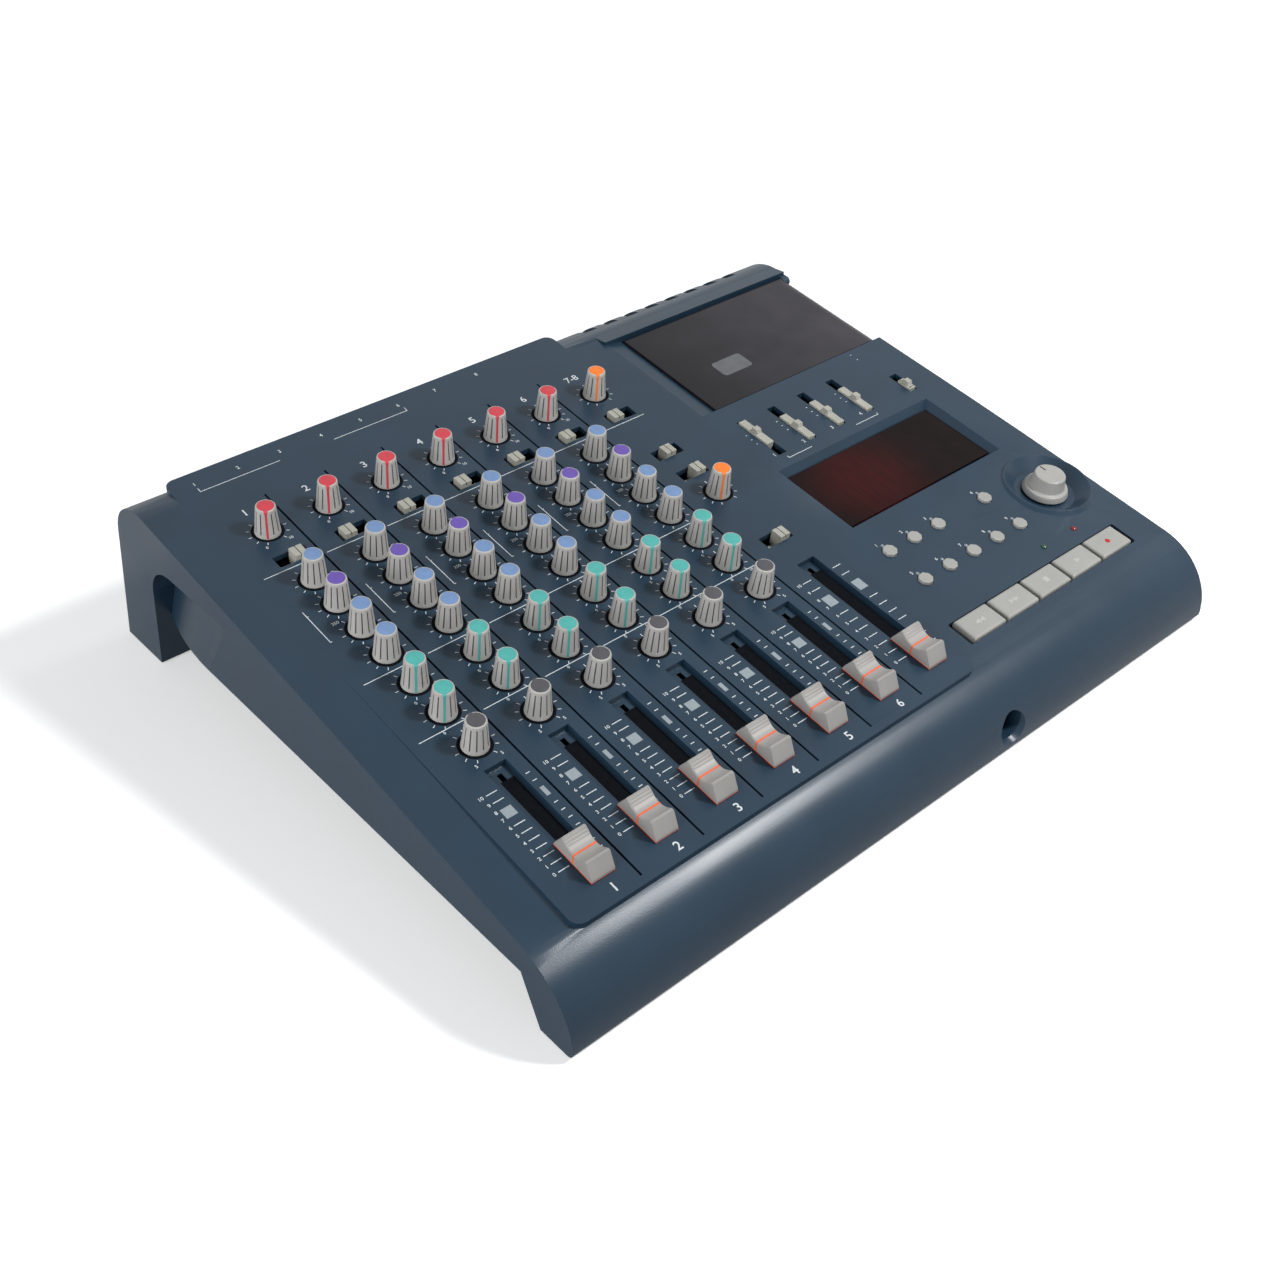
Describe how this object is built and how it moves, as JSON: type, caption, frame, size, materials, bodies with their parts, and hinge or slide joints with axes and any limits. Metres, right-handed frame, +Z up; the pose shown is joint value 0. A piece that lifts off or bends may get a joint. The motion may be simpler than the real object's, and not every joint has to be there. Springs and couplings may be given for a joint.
{
  "type": "four track cassette recorder",
  "caption": "Sloping desk-top cassette recorder with a mixer panel on the left, a lidded cassette deck, a display and transport keys on the right.",
  "frame": {"origin": "on the floor under the middle of the case's bounding box", "axes": "+X to the right across the panel, +Y to the back, +Z up"},
  "size_m": [0.401, 0.3577, 0.1027],
  "materials": {
    "case_plastic": "fine grain, satin",
    "control_plastic": "smooth",
    "accent_plastic": "smooth",
    "black_plastic": "satin",
    "smoked_lid": "smoked, glossy",
    "red_lens": "dark red smoke, glossy",
    "spindle_plastic": "smooth",
    "rubber": "dull",
    "metal": "brushed",
    "board": "solder mask"
  },
  "bodies": {
    "case": {"upper_case": "case_plastic", "base_pan": "case_plastic", "rubber_feet": "rubber", "jack_sockets": "black_plastic", "power_inlet": "black_plastic", "channel_knobs_2_to_6": "control_plastic", "rotary_pots": "metal", "fader_units": "black_plastic", "mixer_switch_caps": "control_plastic", "slide_switch_units": "black_plastic", "mixer_board": "board", "control_board": "board", "display_window": "red_lens", "deck_chassis": "black_plastic", "deck_motor": "metal", "drive_belt": "rubber"},
    "cassette_lid": {"cassette_lid": "smoked_lid"},
    "knob_trim": {"knob_trim": "control_plastic"},
    "knob_eq_high": {"knob_eq_high": "control_plastic"},
    "knob_eq_mid_frequency": {"knob_eq_mid_frequency": "control_plastic"},
    "knob_eq_mid_level": {"knob_eq_mid_level": "control_plastic"},
    "knob_eq_low": {"knob_eq_low": "control_plastic"},
    "knob_effect_1": {"knob_effect_1": "control_plastic"},
    "knob_effect_2": {"knob_effect_2": "control_plastic"},
    "knob_pan": {"knob_pan": "control_plastic"},
    "knob_line_level": {"knob_line_level": "control_plastic"},
    "knob_monitor_level": {"knob_monitor_level": "control_plastic"},
    "knob_pitch": {"knob_pitch": "accent_plastic"},
    "fader_1": {"fader_1": "control_plastic"},
    "fader_2": {"fader_2": "control_plastic"},
    "fader_3": {"fader_3": "control_plastic"},
    "fader_4": {"fader_4": "control_plastic"},
    "fader_5": {"fader_5": "control_plastic"},
    "fader_6": {"fader_6": "control_plastic"},
    "fader_master": {"fader_master": "control_plastic"},
    "record_switch_1": {"record_switch_1": "control_plastic"},
    "record_switch_2": {"record_switch_2": "control_plastic"},
    "record_switch_3": {"record_switch_3": "control_plastic"},
    "record_switch_4": {"record_switch_4": "control_plastic"},
    "tape_speed_switch": {"tape_speed_switch": "control_plastic"},
    "button_upper_1": {"button_upper_1": "control_plastic"},
    "button_upper_2": {"button_upper_2": "control_plastic"},
    "button_upper_3": {"button_upper_3": "control_plastic"},
    "button_upper_4": {"button_upper_4": "control_plastic"},
    "button_lower_1": {"button_lower_1": "control_plastic"},
    "button_lower_2": {"button_lower_2": "control_plastic"},
    "button_lower_3": {"button_lower_3": "control_plastic"},
    "button_lower_4": {"button_lower_4": "control_plastic"},
    "button_lower_5": {"button_lower_5": "control_plastic"},
    "key_rewind": {"key_rewind": "control_plastic"},
    "key_fast_forward": {"key_fast_forward": "control_plastic"},
    "key_stop": {"key_stop": "control_plastic"},
    "key_play": {"key_play": "control_plastic"},
    "key_record": {"key_record": "control_plastic"},
    "supply_spindle": {"supply_spindle": "spindle_plastic"},
    "take_up_spindle": {"take_up_spindle": "spindle_plastic"},
    "capstan_flywheel": {"capstan_flywheel": "metal"},
    "head_carriage": {"head_carriage": "metal"},
    "pinch_roller": {"pinch_roller": "rubber"}
  },
  "joints": [
    {"name": "lid_hinge", "type": "hinge", "parent": "case", "child": "cassette_lid", "pos_m": [0.1381, 0.11179, 0.08998], "axis": [-1, 0, 0], "range_deg": [0, 75]},
    {"name": "knob_trim_turn", "type": "hinge", "parent": "case", "child": "knob_trim", "pos_m": [-0.15875, 0.0836, 0.0873], "axis": [0, -0.1857, 0.9826], "range_deg": [-300, 0]},
    {"name": "knob_eq_high_turn", "type": "hinge", "parent": "case", "child": "knob_eq_high", "pos_m": [-0.15875, 0.04567, 0.08013], "axis": [0, -0.1857, 0.9826], "range_deg": [-150, 150]},
    {"name": "knob_eq_mid_frequency_turn", "type": "hinge", "parent": "case", "child": "knob_eq_mid_frequency", "pos_m": [-0.15875, 0.02759, 0.07672], "axis": [0, -0.1857, 0.9826], "range_deg": [-150, 150]},
    {"name": "knob_eq_mid_level_turn", "type": "hinge", "parent": "case", "child": "knob_eq_mid_level", "pos_m": [-0.15875, 0.00922, 0.07325], "axis": [0, -0.1857, 0.9826], "range_deg": [-150, 150]},
    {"name": "knob_eq_low_turn", "type": "hinge", "parent": "case", "child": "knob_eq_low", "pos_m": [-0.15875, -0.00896, 0.06981], "axis": [0, -0.1857, 0.9826], "range_deg": [-150, 150]},
    {"name": "knob_effect_1_turn", "type": "hinge", "parent": "case", "child": "knob_effect_1", "pos_m": [-0.15875, -0.02911, 0.066], "axis": [0, -0.1857, 0.9826], "range_deg": [-300, 0]},
    {"name": "knob_effect_2_turn", "type": "hinge", "parent": "case", "child": "knob_effect_2", "pos_m": [-0.15875, -0.04856, 0.06233], "axis": [0, -0.1857, 0.9826], "range_deg": [-300, 0]},
    {"name": "knob_pan_turn", "type": "hinge", "parent": "case", "child": "knob_pan", "pos_m": [-0.15875, -0.06988, 0.0583], "axis": [0, -0.1857, 0.9826], "range_deg": [-150, 150]},
    {"name": "knob_line_level_turn", "type": "hinge", "parent": "case", "child": "knob_line_level", "pos_m": [0.0314, 0.0836, 0.0873], "axis": [0, -0.1857, 0.9826], "range_deg": [-300, 0]},
    {"name": "knob_monitor_level_turn", "type": "hinge", "parent": "case", "child": "knob_monitor_level", "pos_m": [0.0314, -0.00896, 0.06981], "axis": [0, -0.1857, 0.9826], "range_deg": [-300, 0]},
    {"name": "knob_pitch_turn", "type": "hinge", "parent": "case", "child": "knob_pitch", "pos_m": [0.1768, -0.09642, 0.05329], "axis": [0, -0.1857, 0.9826], "range_deg": [-150, 150]},
    {"name": "fader_1_slide", "type": "slide", "parent": "case", "child": "fader_1", "axis": [0, 0.9826, 0.1857], "range_m": [0, 0.045]},
    {"name": "fader_2_slide", "type": "slide", "parent": "case", "child": "fader_2", "axis": [0, 0.9826, 0.1857], "range_m": [0, 0.045]},
    {"name": "fader_3_slide", "type": "slide", "parent": "case", "child": "fader_3", "axis": [0, 0.9826, 0.1857], "range_m": [0, 0.045]},
    {"name": "fader_4_slide", "type": "slide", "parent": "case", "child": "fader_4", "axis": [0, 0.9826, 0.1857], "range_m": [0, 0.045]},
    {"name": "fader_5_slide", "type": "slide", "parent": "case", "child": "fader_5", "axis": [0, 0.9826, 0.1857], "range_m": [0, 0.045]},
    {"name": "fader_6_slide", "type": "slide", "parent": "case", "child": "fader_6", "axis": [0, 0.9826, 0.1857], "range_m": [0, 0.045]},
    {"name": "fader_master_slide", "type": "slide", "parent": "case", "child": "fader_master", "axis": [0, 0.9826, 0.1857], "range_m": [0, 0.06]},
    {"name": "record_switch_1_slide", "type": "slide", "parent": "case", "child": "record_switch_1", "axis": [0, 0.9826, 0.1857], "range_m": [-0.008, 0]},
    {"name": "record_switch_2_slide", "type": "slide", "parent": "case", "child": "record_switch_2", "axis": [0, 0.9826, 0.1857], "range_m": [0, 0.008]},
    {"name": "record_switch_3_slide", "type": "slide", "parent": "case", "child": "record_switch_3", "axis": [0, 0.9826, 0.1857], "range_m": [0, 0.008]},
    {"name": "record_switch_4_slide", "type": "slide", "parent": "case", "child": "record_switch_4", "axis": [0, 0.9826, 0.1857], "range_m": [0, 0.008]},
    {"name": "tape_speed_switch_slide", "type": "slide", "parent": "case", "child": "tape_speed_switch", "axis": [0, 0.9826, 0.1857], "range_m": [0, 0.005]},
    {"name": "button_upper_1_press", "type": "slide", "parent": "case", "child": "button_upper_1", "axis": [0, -0.1857, 0.9826], "range_m": [-0.001, 0], "stiffness_N_per_m": 300},
    {"name": "button_upper_2_press", "type": "slide", "parent": "case", "child": "button_upper_2", "axis": [0, -0.1857, 0.9826], "range_m": [-0.001, 0], "stiffness_N_per_m": 300},
    {"name": "button_upper_3_press", "type": "slide", "parent": "case", "child": "button_upper_3", "axis": [0, -0.1857, 0.9826], "range_m": [-0.001, 0], "stiffness_N_per_m": 300},
    {"name": "button_upper_4_press", "type": "slide", "parent": "case", "child": "button_upper_4", "axis": [0, -0.1857, 0.9826], "range_m": [-0.001, 0], "stiffness_N_per_m": 300},
    {"name": "button_lower_1_press", "type": "slide", "parent": "case", "child": "button_lower_1", "axis": [0, -0.1857, 0.9826], "range_m": [-0.001, 0], "stiffness_N_per_m": 300},
    {"name": "button_lower_2_press", "type": "slide", "parent": "case", "child": "button_lower_2", "axis": [0, -0.1857, 0.9826], "range_m": [-0.001, 0], "stiffness_N_per_m": 300},
    {"name": "button_lower_3_press", "type": "slide", "parent": "case", "child": "button_lower_3", "axis": [0, -0.1857, 0.9826], "range_m": [-0.001, 0], "stiffness_N_per_m": 300},
    {"name": "button_lower_4_press", "type": "slide", "parent": "case", "child": "button_lower_4", "axis": [0, -0.1857, 0.9826], "range_m": [-0.001, 0], "stiffness_N_per_m": 300},
    {"name": "button_lower_5_press", "type": "slide", "parent": "case", "child": "button_lower_5", "axis": [0, -0.1857, 0.9826], "range_m": [-0.001, 0], "stiffness_N_per_m": 300},
    {"name": "key_rewind_press", "type": "slide", "parent": "case", "child": "key_rewind", "axis": [0, -0.1857, 0.9826], "range_m": [-0.0025, 0], "stiffness_N_per_m": 600},
    {"name": "key_fast_forward_press", "type": "slide", "parent": "case", "child": "key_fast_forward", "axis": [0, -0.1857, 0.9826], "range_m": [-0.0025, 0], "stiffness_N_per_m": 600},
    {"name": "key_stop_press", "type": "slide", "parent": "case", "child": "key_stop", "axis": [0, -0.1857, 0.9826], "range_m": [-0.0025, 0], "stiffness_N_per_m": 600},
    {"name": "key_play_press", "type": "slide", "parent": "case", "child": "key_play", "axis": [0, -0.1857, 0.9826], "range_m": [-0.0025, 0], "stiffness_N_per_m": 600},
    {"name": "key_record_press", "type": "slide", "parent": "case", "child": "key_record", "axis": [0, -0.1857, 0.9826], "range_m": [-0.0025, 0], "stiffness_N_per_m": 600},
    {"name": "supply_spin", "type": "hinge", "parent": "case", "child": "supply_spindle", "pos_m": [0.11685, 0.08095, 0.0868], "axis": [0, -0.1857, 0.9826], "continuous": true},
    {"name": "take_up_spin", "type": "hinge", "parent": "case", "child": "take_up_spindle", "pos_m": [0.15935, 0.08095, 0.0868], "axis": [0, -0.1857, 0.9826], "continuous": true},
    {"name": "capstan_spin", "type": "hinge", "parent": "case", "child": "capstan_flywheel", "pos_m": [0.1716, 0.05314, 0.08154], "axis": [0, -0.1857, 0.9826], "continuous": true},
    {"name": "head_carriage_slide", "type": "slide", "parent": "case", "child": "head_carriage", "axis": [0, 0.9826, 0.1857], "range_m": [0, 0.006]},
    {"name": "pinch_roller_spin", "type": "hinge", "parent": "head_carriage", "child": "pinch_roller", "pos_m": [0.1716, 0.03928, 0.07893], "axis": [0, -0.1857, 0.9826], "continuous": true}
  ]
}
